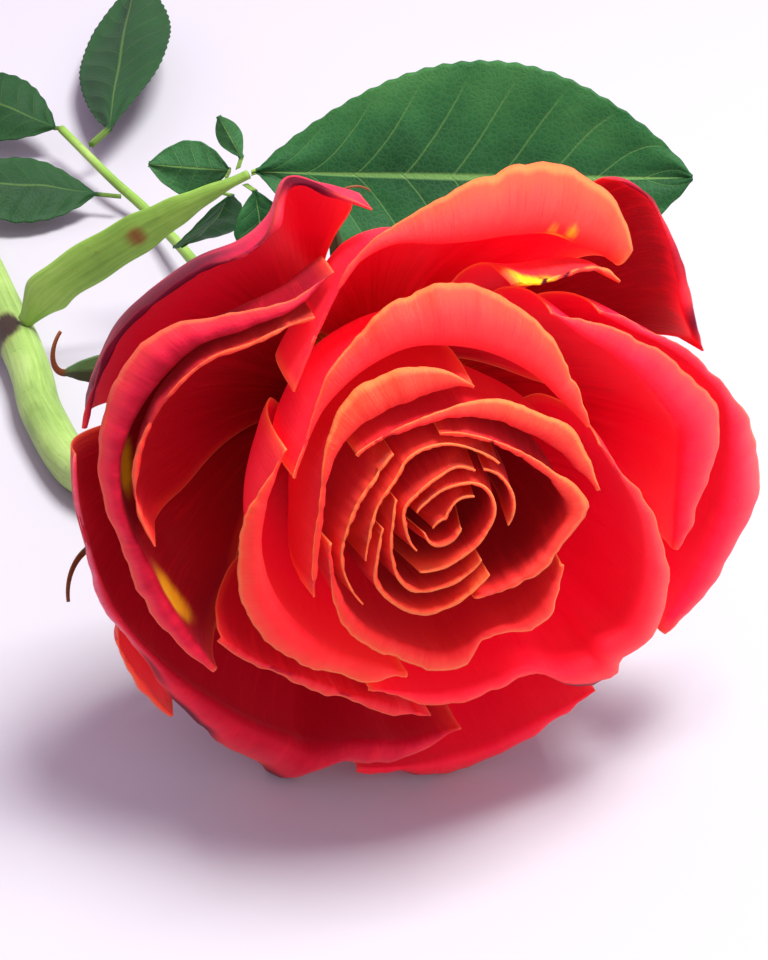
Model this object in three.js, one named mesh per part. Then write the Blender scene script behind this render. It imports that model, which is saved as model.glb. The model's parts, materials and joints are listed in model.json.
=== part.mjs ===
// Cut garden rose lying on its side: open bloom, hip, sepals, bent stem and two compound leaves.
// Millimetres, +Z up. The bloom looks toward -Y and the stem runs back toward +Y and -X.
// Origin: middle of the footprint, on the surface the rose lies on.
import * as THREE from "three";

// Driving dimensions
const bloomHeight = 45;        // petal base to the top of the bud, along the bloom axis
const outerRadius = 43;        // radius at which the rims have dropped by rimDrop
const rimDrop = 25;            // how much lower the outermost rims sit than the bud
const bloomTurn = 11;          // bloom axis turned toward +X, degrees
const bloomLift = 15;          // bloom axis raised above the surface, degrees
const petalThickness = 0.4;
const clawThickness = 0.2;     // petals thin out toward the receptacle
const clawShare = 0.5;         // share of the petal's spread left at its base
const petalBaseStart = 0.8;    // where on the receptacle the innermost petal sits
const petalBaseStep = 0.27;    // each petal further out sits this much wider
const domeHeight = 2;          // receptacle dome above the petal base plane
const domeFall = 0.085;        // dome z = domeHeight - domeFall * r * r
const restGap = 0.35;          // clearance where one piece rests on another
const stemRadius = 3.5;
const stemReach = 165;         // length of straight stem beyond the node
const hipRadius = 5.6;
const sepalTail = 7.5;           // length of the thin curling tip
const leafThickness = 0.5;
const leafFoot = 0.5;          // half width of a leaflet's short stalk
const leafShape = 1.06;        // above 1 a blade is widest past its middle
const wallRows = 6;            // mesh rows from base to crest
const lipRows = 2;             // mesh rows from crest to rim

const rad = THREE.MathUtils.degToRad;
const vec = (x, y, z) => new THREE.Vector3(x, y, z);
const mix = (a, b, t) => a + (b - a) * t;

// Bloom frame: axis points out of the flower, side to its right, crown to its top
const axis = vec(
  Math.sin(rad(bloomTurn)) * Math.cos(rad(bloomLift)),
  -Math.cos(rad(bloomTurn)) * Math.cos(rad(bloomLift)),
  Math.sin(rad(bloomLift)),
);
const side = vec(Math.cos(rad(bloomTurn)), Math.sin(rad(bloomTurn)), 0);
const crown = vec(0, 0, 0).crossVectors(axis, side);

function fromBloom(angle, radius, height) {
  const across = radius * Math.cos(rad(angle));
  const upward = radius * Math.sin(rad(angle));
  return vec(0, 0, 0)
    .addScaledVector(side, across)
    .addScaledVector(crown, upward)
    .addScaledVector(axis, height);
}

const rimHeight = (r) => bloomHeight - rimDrop * (r / outerRadius) ** 2;
const domeAt = (r) => domeHeight - domeFall * r * r;

// Smooth curve through stations [angle, a, b], read at any angle
function stationAt(stations, angle, column) {
  const last = stations.length - 1;
  const at = THREE.MathUtils.clamp(angle, stations[0][0], stations[last][0]);
  let i = 0;
  while (i < last - 1 && at > stations[i + 1][0]) i += 1;
  const slope = (k) => {
    const lo = stations[Math.max(k - 1, 0)];
    const hi = stations[Math.min(k + 1, last)];
    return (hi[column] - lo[column]) / (hi[0] - lo[0]);
  };
  const [from, to] = [stations[i], stations[i + 1]];
  const width = to[0] - from[0];
  const t = (at - from[0]) / width;
  const t2 = t * t;
  const t3 = t2 * t;
  return from[column] * (2 * t3 - 3 * t2 + 1) + to[column] * (3 * t2 - 2 * t3)
    + width * (slope(i) * (t3 - 2 * t2 + t) + slope(i + 1) * (t3 - t2));
}

const bezier = (a, b, c, d, t) => {
  const s = 1 - t;
  return a * s * s * s + 3 * b * s * s * t + 3 * c * s * t * t + d * t * t * t;
};

// One line up a petal. wall 0..1 runs base to crest, 1..2 runs over the lip to the rim.
function meridian(base, rim, lip, bulge, wall) {
  const crest = rim - lip;
  const belly = crest + 5 * (1 - crest / 45) + bulge;
  const top = rimHeight(crest);
  const foot = domeAt(base);
  const shoulder = top - 0.35 * lip;
  if (wall <= 1) {
    return [
      bezier(base, mix(base, belly, 0.6), belly, crest, wall),
      bezier(foot, foot + 0.12 * top, 0.5 * top, shoulder, wall),
    ];
  }
  const t = wall - 1;
  const reach = bezier(crest, crest, mix(crest, rim, 0.45), rim, t);
  const rise = bezier(shoulder, top + 0.1 * lip, top + 0.1 * lip, rimHeight(rim), t);
  return [reach, rise];
}

// Closed thin body around a grid of points; thickness may vary along the rows
function sheetBody(grid, thicknessAt) {
  const rows = grid.length;
  const cols = grid[0].length;
  const positions = [];
  for (const sign of [1, -1]) {
    for (let j = 0; j < rows; j += 1) {
      for (let i = 0; i < cols; i += 1) {
        const along = grid[Math.min(j + 1, rows - 1)][i].clone().sub(grid[Math.max(j - 1, 0)][i]);
        const acrossEdge = grid[j][Math.min(i + 1, cols - 1)].clone().sub(grid[j][Math.max(i - 1, 0)]);
        const normal = acrossEdge.cross(along).normalize();
        const p = grid[j][i].clone().addScaledVector(normal, sign * thicknessAt(j / (rows - 1)) / 2);
        positions.push(p.x, p.y, p.z);
      }
    }
  }
  const index = [];
  const at = (j, i, layer) => layer * rows * cols + j * cols + i;
  const quad = (a, b, c, d) => index.push(a, b, c, a, c, d);
  for (let j = 0; j < rows - 1; j += 1) {
    for (let i = 0; i < cols - 1; i += 1) {
      quad(at(j, i, 0), at(j, i + 1, 0), at(j + 1, i + 1, 0), at(j + 1, i, 0));
      quad(at(j, i, 1), at(j + 1, i, 1), at(j + 1, i + 1, 1), at(j, i + 1, 1));
    }
  }
  for (let i = 0; i < cols - 1; i += 1) {
    quad(at(0, i, 0), at(0, i, 1), at(0, i + 1, 1), at(0, i + 1, 0));
    quad(at(rows - 1, i, 0), at(rows - 1, i + 1, 0), at(rows - 1, i + 1, 1), at(rows - 1, i, 1));
  }
  for (let j = 0; j < rows - 1; j += 1) {
    quad(at(j, 0, 0), at(j + 1, 0, 0), at(j + 1, 0, 1), at(j, 0, 1));
    quad(at(j, cols - 1, 0), at(j, cols - 1, 1), at(j + 1, cols - 1, 1), at(j + 1, cols - 1, 0));
  }
  return bodyFrom(positions, index);
}

// Closed body through rings of points, each end closed on its middle point
function loftBody(rings) {
  const count = rings[0].length;
  const positions = rings.flat().flatMap((p) => [p.x, p.y, p.z]);
  const index = [];
  for (let j = 0; j < rings.length - 1; j += 1) {
    for (let i = 0; i < count; i += 1) {
      const next = (i + 1) % count;
      const [a, b] = [j * count + i, j * count + next];
      index.push(a, b, b + count, a, b + count, a + count);
    }
  }
  for (const end of [0, rings.length - 1]) {
    const middle = rings[end].reduce((sum, p) => sum.add(p), vec(0, 0, 0)).divideScalar(count);
    const centre = positions.length / 3;
    positions.push(middle.x, middle.y, middle.z);
    for (let i = 0; i < count; i += 1) {
      const [a, b] = [end * count + i, end * count + ((i + 1) % count)];
      if (end === 0) index.push(centre, b, a);
      else index.push(centre, a, b);
    }
  }
  return bodyFrom(positions, index);
}

// Indexed geometry turned so its faces look outward
function bodyFrom(positions, index) {
  const corner = (k) => vec(positions[3 * k], positions[3 * k + 1], positions[3 * k + 2]);
  let volume = 0;
  for (let k = 0; k < index.length; k += 3) {
    const [a, b, c] = [corner(index[k]), corner(index[k + 1]), corner(index[k + 2])];
    volume += a.dot(b.cross(c));
  }
  if (volume < 0) index.reverse();
  const geometry = new THREE.BufferGeometry();
  geometry.setAttribute("position", new THREE.Float32BufferAttribute(positions, 3));
  geometry.setIndex(index);
  geometry.computeVertexNormals();
  return geometry;
}

// Petals from the bud outward. Stations are [angle, rim radius, lip length]:
// angle is measured about the bloom axis from its right, counter-clockwise, in degrees.
// A last number is how far the belly of an outer petal bulges past its rim.
const petals = [
  ["petal_bud_1", [[190, 3.6, 0], [225, 3.2, 0], [260, 2.1, 0], [300, 1.3, 0], [335, 1.3, 0]]],
  ["petal_bud_2", [[50, 4.4, 0], [75, 3.3, 0], [98, 2.2, 0], [130, 1.5, 0], [160, 2.0, 0], [180, 2.6, 0]]],
  ["petal_bud_3", [[-126, 7.0, 0], [-106, 5.6, 0], [-74, 4.2, 0], [-22, 4.2, 0], [17, 5.4, 0],
    [48, 5.8, 0], [88, 4.8, 0], [126, 4.4, 0], [154, 4.8, 0]]],
  ["petal_bud_4", [[64, 7.1, 0], [82, 7.0, 0], [102, 6.2, 0], [131, 5.8, 0], [155, 6.1, 0],
    [182, 5.5, 0], [212, 5.3, 0]]],
  ["petal_bud_5", [[-8, 6.9, 0], [9, 7.6, 0], [23, 7.9, 0], [41, 7.9, 0], [57, 7.6, 0]]],
  ["petal_bud_6", [[150, 7.5, 0], [174, 7.0, 0], [205, 7.9, 0], [225, 9.0, 0.2], [240, 9.2, 0.3],
    [259, 8.0, 0.2], [284, 6.7, 0], [305, 6.0, 0]]],
  ["petal_ring_1", [[48, 9.1, 0.2], [70, 9.1, 0.2], [92, 9.6, 0.3], [117, 9.6, 0.3], [137, 8.7, 0],
    [162, 9.0, 0], [186, 9.8, 0], [200, 10.9, 0]]],
  ["petal_ring_2", [[178, 8.2, 0], [190, 8.7, 0], [202, 9.6, 0], [216, 11.2, 0.4], [238, 11.9, 0.6],
    [252, 11.8, 0.6], [265, 10.7, 0.4], [287, 8.9, 0], [302, 8.3, 0]]],
  ["petal_ring_3", [[-76, 10.2, 0], [-50, 11.5, 0.4], [-34, 13.2, 1], [-18, 14.4, 1.2], [-4, 17.0, 2.6],
    [5, 15.8, 2], [21, 13.0, 0.8], [43, 11.2, 0.3], [68, 10.6, 0.3], [94, 11.0, 0.3]]],
  ["petal_ring_4", [[125, 11.1, 0], [144, 10.6, 0], [163, 11.2, 0], [179, 12.0, 0], [192, 13.0, 0],
    [206, 13.7, 0], [222, 14.3, 0.2]]],
  ["petal_heart_1", [[2, 19.2, 1], [8, 18.8, 1.6], [17, 18.2, 2.4], [31, 17.4, 2.8], [45, 15.8, 2.4],
    [60, 15.2, 2.4], [75, 14.2, 1.8], [93, 13.0, 0.8], [111, 12.7, 0.4], [127, 13.2, 0.5],
    [139, 14.0, 0.5]]],
  ["petal_heart_2", [[186, 14.2, 0.2], [201, 15.0, 0.4], [226, 17.6, 1.4], [239, 18.4, 2], [251, 18.8, 2.2],
    [267, 20.4, 2.8], [276, 19.4, 2.4], [283, 16.6, 1], [293, 16.8, 1], [300, 19.0, 2.2],
    [309, 19.2, 2.2], [320, 17.4, 1.4], [331, 15.9, 0.6]]],
  ["petal_heart_3", [[76, 16.0, 0.4], [84, 17.2, 1.6], [95, 18.2, 3.4], [107, 18.4, 3.8], [118, 18.6, 3.8],
    [128, 18.2, 3], [142, 16.8, 1.4], [157, 15.4, 0.4], [172, 15.0, 0.2], [188, 15.8, 0.2],
    [200, 17.0, 0.2], [208, 18.2, 0.2]]],
  ["petal_mid_1", [[26, 19.8, 0.5], [40, 21.2, 2.4], [52, 23.4, 4.4], [65, 25.0, 6], [76, 26.0, 6.8],
    [86, 26.0, 6.6], [98, 25.0, 5.2], [113, 22.8, 3.2], [132, 20.4, 1], [147, 18.8, 0.4],
    [160, 18.6, 0.2]]],
  ["petal_mid_2", [[152, 20.4, 0.3], [162, 20.8, 0.6], [170, 21.8, 1.2], [183, 23.6, 2.4], [192, 24.6, 3],
    [202, 25.6, 3.6], [214, 26.0, 4], [228, 24.8, 3.4], [246, 23.0, 2.4], [256, 21.8, 1]]],
  ["petal_mid_3", [[247, 24.8, 0.6], [257, 25.2, 1.2], [271, 26.6, 2.2], [283, 25.8, 1.8],
    [292, 26.0, 2], [297, 28.4, 3], [301, 34.0, 5.6], [306, 37.6, 7.2], [309, 39.2, 8],
    [312, 36.6, 6.4], [315, 37.6, 6.6], [319, 39.0, 7], [327, 36.6, 6], [342, 29.6, 3],
    [355, 25.0, 1.6], [366, 21.8, 0.8], [378, 20.0, 0.3]]],
  ["petal_mid_4", [[211, 31.6, 1], [221, 30.0, 1.4], [231, 28.2, 1.4], [247, 27.2, 0.8], [258, 27.8, 0.6],
    [267, 28.8, 0.4]]],
  ["petal_cup_1", [[119, 27.0, 0.3], [134, 28.8, 0.3], [143, 31.2, 0.3], [156, 33.4, 0.3], [169, 34.8, 0.3],
    [179, 34.6, 0.3], [187, 33.4, 0.3]]],
  ["petal_cup_2", [[110, 30.2, 0.8], [122, 29.6, 1.2], [134, 32.6, 2.4], [143, 36.4, 3.6], [156, 38.6, 3.8],
    [169, 39.0, 2.8], [179, 38.2, 2.2], [190, 36.8, 2.2], [201, 36.4, 2.2], [211, 35.4, 1.4],
    [218, 34.8, 0.8]]],
  ["petal_top_1", [[43, 33.5, 0.3], [48, 33.2, 0.7], [52, 32.0, 0.9], [57, 29.8, 0.8], [62, 28.2, 0.6],
    [68, 27.0, 0.4]]],
  ["petal_top_2", [[44, 41.4, 7.2], [48, 42.0, 8], [53, 41.6, 8.2], [60, 41.0, 8], [68, 39.2, 7.6],
    [78, 36.2, 6], [87, 33.8, 4], [96, 31.8, 1.6], [104, 30.0, 0.4], [110, 28.4, 0.3],
    [118, 26.2, 0.3], [126, 24.4, 0.3], [136, 22.8, 0.3]]],
  ["petal_right_1", [[-21, 34.0, 1.4], [-10, 35.2, 4], [-2, 37.0, 5.8], [6, 38.0, 6.6],
    [13, 35.8, 5.8], [24, 32.4, 4.2], [35, 29.6, 2.8], [46, 27.4, 1.8], [56, 26.0, 0.4]]],
  ["petal_right_2", [[-40, 43.2, 2.8], [-33, 46.4, 6], [-25, 48.6, 8.2], [-19, 50.0, 9.6],
    [-13, 49.2, 8.8], [-3, 45.4, 5.4], [6, 41.2, 1.7], [17, 36.8, 0.9], [32, 32.0, 0.8], [44, 29.6, 0.6]]],
  ["petal_outer_1", [[98, 34.4, 0.4], [104, 37.0, 0.8], [110, 39.6, 1.2], [116, 36.4, 0.6],
    [123, 35.6, 0.4], [131, 37.2, 0.4], [140, 38.6, 0.4], [150, 40.2, 0.4], [160, 40.6, 0.4],
    [167, 41.0, 0.4]], 2],
  ["petal_outer_2", [[18, 38.2, 0.4], [22, 38.0, 0.4], [27, 38.6, 0.4], [33, 40.6, 0.4],
    [39, 42.4, 0.5], [44, 43.6, 0.6], [50, 42.9, 0.4]], 1],
  ["petal_outer_3", [[172, 41.6, 0.3], [180, 41.4, 0.3], [188, 41.2, 0.5], [201, 41.6, 1],
    [212, 41.6, 2], [224, 43.0, 4], [235, 44.6, 6], [243, 46.5, 8], [247, 48.0, 9], [250, 44.0, 6.4],
    [253, 40.4, 4.6], [258, 38.4, 3.6], [263, 38.6, 3.8], [268, 37.0, 3.2], [272, 34.4, 1.8],
    [275, 33.4, 1.2]], 2.5],
  ["petal_outer_4", [[257, 42.0, 0.8], [264, 42.4, 1.6], [273, 43.8, 3.6], [280, 43.4, 3.6],
    [290, 40.6, 2.4], [298, 39.4, 1], [304, 39.6, 0.5]], 1],
  ["petal_outer_5", [[207, 42.9, 0.3], [212, 44.0, 0.7], [218, 45.0, 0.9], [225, 45.8, 0.9]], 2.5],
];

// Sepals: [name, angle, distance level, reach along the wall, width, turn of the thin tail]
const sepals = [
  ["sepal_1", 163, 45.6, 0.74, 6.5, -125],
  ["sepal_2", 196, 46.0, 0.7, 6, 70],
  ["sepal_3", 101, 42.6, 0.38, 2.4, -150],
  ["sepal_4", 292, 42.8, 0.62, 6, 40],
  ["sepal_5", 28, 45.4, 0.55, 6.5, -70],
];
const sepalBase = petalBaseStart + petalBaseStep * (petals.length + 0.6);

function petalGrid(order, stations, bulge) {
  const base = petalBaseStart + petalBaseStep * order;
  const from = stations[0][0];
  const to = stations[stations.length - 1][0];
  const middle = (from + to) / 2;
  const cols = Math.round(THREE.MathUtils.clamp((to - from) / 15 + 2, 6, 12));
  const rows = wallRows + lipRows;
  const grid = [];
  for (let j = 0; j <= rows; j += 1) {
    const line = [];
    for (let i = 0; i <= cols; i += 1) {
      const u = (2 * i) / cols - 1;
      const corner = 1 - 0.2 * Math.abs(u) ** 6;
      const wall = corner * (j <= wallRows ? j / wallRows : 1 + (j - wallRows) / lipRows);
      const open = THREE.MathUtils.smoothstep(wall, 0, 0.6);
      const angle = middle + ((to - from) / 2) * u * mix(clawShare, 1, open);
      const rim = stationAt(stations, angle, 1);
      const lip = Math.max(stationAt(stations, angle, 2), 0.02);
      const [r, h] = meridian(base, rim, lip, bulge, wall);
      line.push(fromBloom(angle, r, h));
    }
    grid.push(line);
  }
  return grid;
}

// Blade hugging the petals, then a thin tail that turns sideways
function sepalGrid(angle, level, reach, width, curl) {
  const rows = 7;
  const tailRows = 6;
  const grid = [];
  for (let j = 0; j <= rows; j += 1) {
    const t = j / rows;
    const half = (width / 2) * Math.max(0.14, Math.sin(Math.PI * (0.22 + 0.74 * t)));
    const [r, h] = meridian(sepalBase, level, 0.02, 0, 0.04 + (reach - 0.04) * t);
    grid.push([-1, -0.4, 0.4, 1].map((u) => (
      fromBloom(angle + THREE.MathUtils.radToDeg((u * half) / r), r, h - 0.5 * Math.abs(u))
    )));
  }
  const last = grid[rows];
  const onward = last[1].clone().sub(grid[rows - 1][1]).normalize();
  const across = last[3].clone().sub(last[0]).normalize();
  const step = sepalTail / tailRows;
  const moved = vec(0, 0, 0);
  for (let j = 1; j <= tailRows; j += 1) {
    const turn = rad(curl) * (j / tailRows);
    moved.addScaledVector(onward, step * Math.cos(turn)).addScaledVector(across, step * Math.sin(turn));
    const thin = 1 - (0.5 * j) / tailRows;
    const wide = across.clone().multiplyScalar(Math.cos(turn)).addScaledVector(onward, -Math.sin(turn));
    const spine = last[1].clone().add(last[2]).divideScalar(2).add(moved);
    const half = 0.07 * width * thin;
    grid.push([-1, -0.4, 0.4, 1].map((u) => spine.clone().addScaledVector(wide, u * half)));
  }
  return grid;
}

// Receptacle and hip turned about the bloom axis, ending in the neck that carries the stem
function hipBody() {
  const dome = [0.001, 2, 4, 6, 8].map((r) => [r, domeAt(r) - restGap]);
  const profile = [
    ...dome,
    [8.6, -5], [7.2, -6.4], [hipRadius, -9], [hipRadius - 0.5, -12], [3.9, -15], [stemRadius, -17],
  ];
  const steps = 20;
  const rings = profile.map(([r, h]) => (
    Array.from({ length: steps }, (_, i) => fromBloom((360 * i) / steps, r, h))
  ));
  return loftBody(rings);
}
const neckEnd = -17 - restGap;

// Rod along a path; across and upright give its half sizes at each share of the path
function shaft(points, across, upright, sides, steps) {
  const path = new THREE.CatmullRomCurve3(points, false, "centripetal");
  const rings = [];
  for (let j = 0; j <= steps; j += 1) {
    const t = j / steps;
    const at = path.getPointAt(t);
    const along = path.getTangentAt(t);
    const flat = vec(0, 0, 1).cross(along).normalize();
    const up = along.clone().cross(flat).normalize();
    rings.push(Array.from({ length: sides }, (_, i) => {
      const turn = (2 * Math.PI * i) / sides;
      return at.clone()
        .addScaledVector(flat, Math.cos(turn) * across(t))
        .addScaledVector(up, Math.sin(turn) * upright(t));
    }));
  }
  return loftBody(rings);
}

const bladeAcross = [-1, -0.6, -0.25, 0.25, 0.6, 1];

// Short stalk from root to base, then the blade to its tip. spread points across the blade,
// and sag bends it away from its face.
function leaflet(root, base, tip, spread, width, fold, sag) {
  const rows = 8;
  const length = tip.clone().sub(base);
  const face = length.clone().cross(spread).normalize();
  const across = face.clone().cross(length).normalize();
  const grid = [bladeAcross.map((u) => root.clone().addScaledVector(across, -u * leafFoot))];
  for (let j = 0; j <= rows; j += 1) {
    const t = j / rows;
    const half = Math.max(leafFoot, (width / 2) * Math.sin(Math.PI * t ** leafShape) ** 0.8);
    const spine = base.clone().addScaledVector(length, t)
      .addScaledVector(face, sag * Math.sin(Math.PI * t));
    grid.push(bladeAcross.map((u) => spine.clone()
      .addScaledVector(across, -u * half)
      .addScaledVector(face, fold * Math.abs(u) * half)));
  }
  return grid;
}

const colours = {
  petal: 0xd42a1e, hip: 0x6f8f45, sepal: 0x2f5a34, stem: 0x9ec46a, rachis: 0x9cc85c, leaf: 0x2f7a48,
};

const group = new THREE.Group();
function addPiece(name, geometry, colour, roughness) {
  const material = new THREE.MeshStandardMaterial({ color: colour, roughness, metalness: 0 });
  const mesh = new THREE.Mesh(geometry, material);
  mesh.name = name;
  group.add(mesh);
}

petals.forEach(([name, stations, bulge = 0], order) => {
  const grid = petalGrid(order, stations, bulge);
  const thickness = (t) => mix(clawThickness, petalThickness, Math.min(1, 3 * t));
  addPiece(name, sheetBody(grid, thickness), colours.petal, 0.55);
});
addPiece("hip", hipBody(), colours.hip, 0.6);
sepals.forEach(([name, ...shape]) => {
  const grid = sepalGrid(...shape);
  addPiece(name, sheetBody(grid, () => petalThickness), colours.sepal, 0.7);
});

// The rose rests on its lowest petals; the stem comes down from the hip to the same surface
const floor = new THREE.Box3().setFromObject(group).min.z;
const lie = floor + stemRadius;
const stemTop = lie + stemRadius;
const node = vec(-61.2, 76.2, lie);
const away = vec(-0.405, 0.914, 0);
const stemPath = [
  axis.clone().multiplyScalar(neckEnd),
  axis.clone().multiplyScalar(neckEnd - 7),
  vec(-19, 30, lie + 17),
  vec(-34, 30, lie + 7),
  vec(-45, 34.6, lie + 0.8),
  vec(-54, 52.8, lie),
  node,
  node.clone().addScaledVector(away, stemReach / 2).add(vec(4, 0, 0)),
  node.clone().addScaledVector(away, stemReach),
];
const round = () => stemRadius;
addPiece("stem", shaft(stemPath, round, round, 14, 60), colours.stem, 0.5);

// First leaf: winged stalk from the node, one large end leaflet, four small side leaflets
const stalkStart = node.clone().add(vec(0.4, 0, 0.92).multiplyScalar(stemRadius + restGap + 0.2));
const stalk1 = [
  stalkStart,
  vec(-53.5, 76.2, stemTop + 7.4),
  vec(-40, 76.8, stemTop + 16.3),
  vec(-29.8, 78.2, stemTop + 22),
  vec(-21.5, 79.8, stemTop + 25.7),
];
const wing = (t) => mix(1.4, 3.8, THREE.MathUtils.smoothstep(t, 0, 0.2))
  - 3 * THREE.MathUtils.smoothstep(t, 0.4, 1);
addPiece("leaf_1_stalk", shaft(stalk1, (t) => mix(1.1, 0.7, t), wing, 10, 16), colours.rachis, 0.5);

// [name, root, base, tip, spread, width, fold, sag]; heights are above the top of the lying stem
const leaflets = [
  ["leaf_1_end", [-21.05, 79.85, 25.85], [-20.2, 80, 26.1], [50.6, 79.8, 25], [0, 0.55, 0.8], 37, 0.12, -3],
  ["leaf_1_small", [-23.2, 80, 26.6], [-22.6, 80.6, 28.3], [-26.2, 82.4, 34.7],
    [0.9, 0.2, 0.2], 4, 0.4, 0.5],
  ["leaf_1_left", [-25.4, 80.5, 24.4], [-24.8, 83.2, 24.7], [-38.5, 86.8, 24.1], [0, 0.5, 0.8], 9, 0.2, 1],
  ["leaf_1_low", [-22.2, 79.6, 24], [-20.6, 79, 23.1], [-19.6, 77.3, 11.4], [0.9, 0.3, 0], 9, 0.2, 1],
  ["leaf_1_back", [-28, 80, 22.9], [-24.8, 85.8, 19], [-35, 96.8, 3.6], [0.8, 0.5, 0], 12, 0.2, 1],
  ["leaf_2_end", [-62.75, 151.85, 0.05], [-63.8, 152.8, -0.4], [-89, 166.8, 2.6],
    [0.3, 0.7, 0.4], 16, 0.15, -1],
  ["leaf_2_right", [-55.9, 144, 0.3], [-52.6, 147.8, 2], [-54, 221.8, 2], [0.95, 0, 0.3], 19, 0.15, -1],
  ["leaf_2_left", [-48.65, 127.6, -2.5], [-53.4, 128.4, -2.4], [-79, 123.8, 2], [0, 0.9, 0.4], 15, 0.15, -1],
];
leaflets.forEach(([name, root, base, tip, spread, ...shape]) => {
  const at = ([x, y, height]) => vec(x, y, stemTop + height);
  const grid = leaflet(at(root), at(base), at(tip), vec(...spread), ...shape);
  addPiece(name, sheetBody(grid, () => leafThickness), colours.leaf, 0.5);
});

// Second leaf: a longer stalk from the bend of the stem, lying back on the surface
const stalk2 = [
  vec(-33, 35.2, stemTop + 6.4),
  vec(-28, 53.8, stemTop + 6),
  vec(-30, 87.8, stemTop + 1),
  vec(-42.3, 120.8, stemTop - 3.2),
  vec(-51, 133.8, stemTop - 2),
  vec(-62.4, 151.4, stemTop),
];
const slim = (t) => mix(1.2, 0.8, t);
addPiece("leaf_2_stalk", shaft(stalk2, slim, slim, 10, 18), colours.rachis, 0.5);

// Move the whole rose so the middle of its footprint is the origin
const box = new THREE.Box3().setFromObject(group);
const shift = vec(-(box.min.x + box.max.x) / 2, -(box.min.y + box.max.y) / 2, -box.min.z);
for (const mesh of group.children) mesh.geometry.translate(shift.x, shift.y, shift.z);

export default group;
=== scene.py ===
import json
import math

import bmesh
import bpy
from mathutils import Matrix, Vector, noise


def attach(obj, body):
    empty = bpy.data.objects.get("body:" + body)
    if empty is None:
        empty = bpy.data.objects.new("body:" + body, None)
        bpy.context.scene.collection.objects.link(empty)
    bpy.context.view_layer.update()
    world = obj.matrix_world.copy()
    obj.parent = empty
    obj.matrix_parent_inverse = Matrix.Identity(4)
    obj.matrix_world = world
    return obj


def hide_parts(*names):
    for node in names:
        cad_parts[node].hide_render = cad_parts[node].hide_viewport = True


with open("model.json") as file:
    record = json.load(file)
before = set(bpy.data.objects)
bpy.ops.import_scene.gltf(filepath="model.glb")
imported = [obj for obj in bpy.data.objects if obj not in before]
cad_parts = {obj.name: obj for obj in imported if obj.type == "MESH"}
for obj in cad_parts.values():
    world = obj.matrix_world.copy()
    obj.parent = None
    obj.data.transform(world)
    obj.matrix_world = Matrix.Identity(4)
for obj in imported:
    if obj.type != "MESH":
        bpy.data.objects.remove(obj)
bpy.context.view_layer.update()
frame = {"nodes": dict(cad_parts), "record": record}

mm = 0.001
bpy.context.scene.view_settings.view_transform = "Standard"

# Where the bloom sits and looks: the hip's own mesh gives its origin
bloom = {"turn": 11, "lift": 15, "height": 45, "outerRadius": 43, "rimDrop": 25, "petalBase": 0.8,
         "petalStep": 0.27, "claw": 0.5, "domeHeight": 2, "domeFall": 0.085, "restGap": 0.35}
turn, lift = math.radians(bloom["turn"]), math.radians(bloom["lift"])
bloomAxis = Vector((math.sin(turn) * math.cos(lift), -math.cos(turn) * math.cos(lift), math.sin(lift)))
bloomSide = Vector((math.cos(turn), math.sin(turn), 0))
bloomCrown = bloomAxis.cross(bloomSide)


def findBloomOrigin():
    points = [v.co for v in frame["nodes"]["hip"].data.vertices]
    reach = lambda way: [p.dot(way) for p in points]
    across, upward, along = reach(bloomSide), reach(bloomCrown), reach(bloomAxis)
    domeTop = (bloom["domeHeight"] - bloom["restGap"]) * mm
    return (bloomSide * (min(across) + max(across)) / 2 + bloomCrown * (min(upward) + max(upward)) / 2
            + bloomAxis * (max(along) - domeTop))


bloomOrigin = findBloomOrigin()


def fromBloom(angle, radius, height):
    a = math.radians(angle)
    return (bloomOrigin + bloomSide * (radius * math.cos(a) * mm)
            + bloomCrown * (radius * math.sin(a) * mm) + bloomAxis * (height * mm))


def place(x, y, height):  # x and y from the bloom's origin, height above the surface, all in mm
    return Vector((bloomOrigin.x + x * mm, bloomOrigin.y + y * mm, height * mm))


def mix(a, b, t):
    return a + (b - a) * t


def smooth(x, low, high):
    t = min(max((x - low) / (high - low), 0), 1)
    return t * t * (3 - 2 * t)


class Wire:  # a socket that can be used in sums
    def __init__(self, maker, socket):
        self.maker, self.socket = maker, socket

    def math(self, operation, a, b):
        return self.maker.node("ShaderNodeMath", {"operation": operation}, [a, b])

    def __add__(self, other): return self.math("ADD", self, other)
    def __radd__(self, other): return self.math("ADD", other, self)
    def __sub__(self, other): return self.math("SUBTRACT", self, other)
    def __rsub__(self, other): return self.math("SUBTRACT", other, self)
    def __mul__(self, other): return self.math("MULTIPLY", self, other)
    def __rmul__(self, other): return self.math("MULTIPLY", other, self)
    def __truediv__(self, other): return self.math("DIVIDE", self, other)
    def __pow__(self, other): return self.math("POWER", self, other)


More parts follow.
